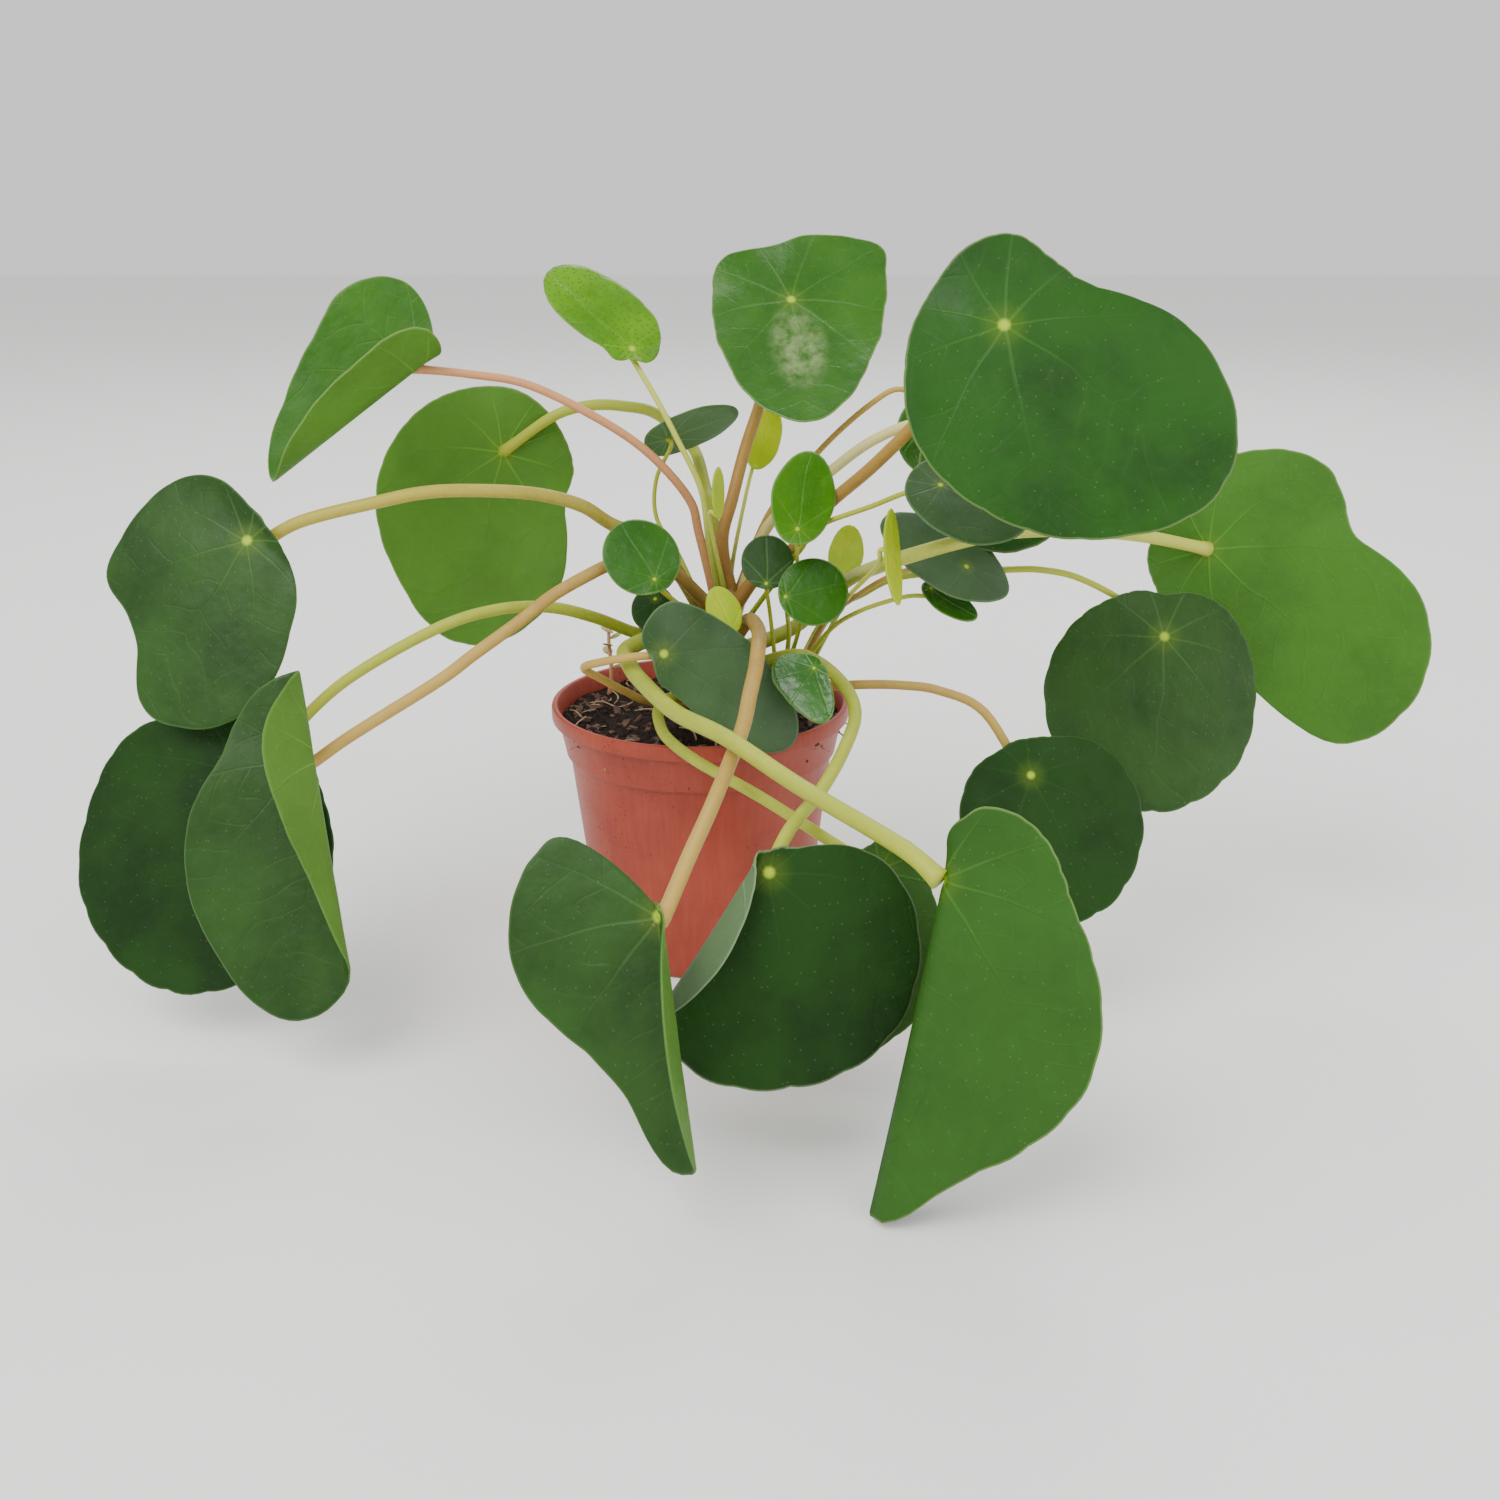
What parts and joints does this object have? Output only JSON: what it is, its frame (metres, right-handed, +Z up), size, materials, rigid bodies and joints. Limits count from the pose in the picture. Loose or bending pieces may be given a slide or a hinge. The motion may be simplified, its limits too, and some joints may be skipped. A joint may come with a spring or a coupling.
{
  "type": "potted chinese money plant",
  "caption": "Chinese money plant with round leaves on long arching stalks, in a tapered terracotta-red nursery pot full of soil.",
  "frame": {"origin": "middle of the pot's underside, on the surface it stands on", "axes": "+Z up along the pot's axis; -Y towards the side it is looked at from; +X to the right seen from there"},
  "size_m": [0.5178, 0.2936, 0.2853],
  "materials": {
    "pot_plastic": "terracotta-red moulded plastic, satin",
    "potting_soil": null,
    "woody_stem": "brown woody stem with old leaf scars",
    "petiole": null,
    "large_leaf": "waxy dark green leaf, semi-gloss above and matte below",
    "small_leaf": "waxy mid-green leaf",
    "young_leaf": "young yellow-green leaf"
  },
  "bodies": {
    "root": {"blade_back_left": "large_leaf", "blade_front_dark": "large_leaf", "blade_front_hidden": "large_leaf", "blade_front_left": "large_leaf", "blade_front_right": "large_leaf", "blade_left": "large_leaf", "blade_low_left": "large_leaf", "blade_low_left_folded": "large_leaf", "blade_low_right": "large_leaf", "blade_right": "large_leaf", "blade_right_round": "large_leaf", "blade_top": "large_leaf", "blade_top_right": "large_leaf", "blade_upper_left": "large_leaf", "leaf_behind_right_large": "small_leaf", "leaf_behind_right_small": "small_leaf", "leaf_bright_high": "young_leaf", "leaf_dark_inner": "small_leaf", "leaf_dark_right": "small_leaf", "leaf_dark_round": "small_leaf", "leaf_edge_on_back": "small_leaf", "leaf_folded_right": "small_leaf", "leaf_glossy_low": "small_leaf", "leaf_grey_right": "small_leaf", "leaf_narrow_right": "small_leaf", "leaf_ovate": "small_leaf", "leaf_over_pot": "small_leaf", "leaf_round_left": "small_leaf", "leaf_round_right": "small_leaf", "leaf_sliver_crown": "young_leaf", "leaf_yellow_back": "young_leaf", "leaf_yellow_crown": "young_leaf", "leaf_yellow_oval": "young_leaf", "petiole_back_left": "petiole", "petiole_front_dark": "petiole", "petiole_front_hidden": "petiole", "petiole_front_left": "petiole", "petiole_front_right": "petiole", "petiole_left": "petiole", "petiole_low_left": "petiole", "petiole_low_left_folded": "petiole", "petiole_low_right": "petiole", "petiole_right": "petiole", "petiole_right_round": "petiole", "petiole_top": "petiole", "petiole_top_right": "petiole", "petiole_upper_left": "petiole", "pot": "pot_plastic", "seedling": "young_leaf", "soil": "potting_soil", "stem_main": "woody_stem", "stem_offset": "woody_stem"}
  },
  "joints": []
}
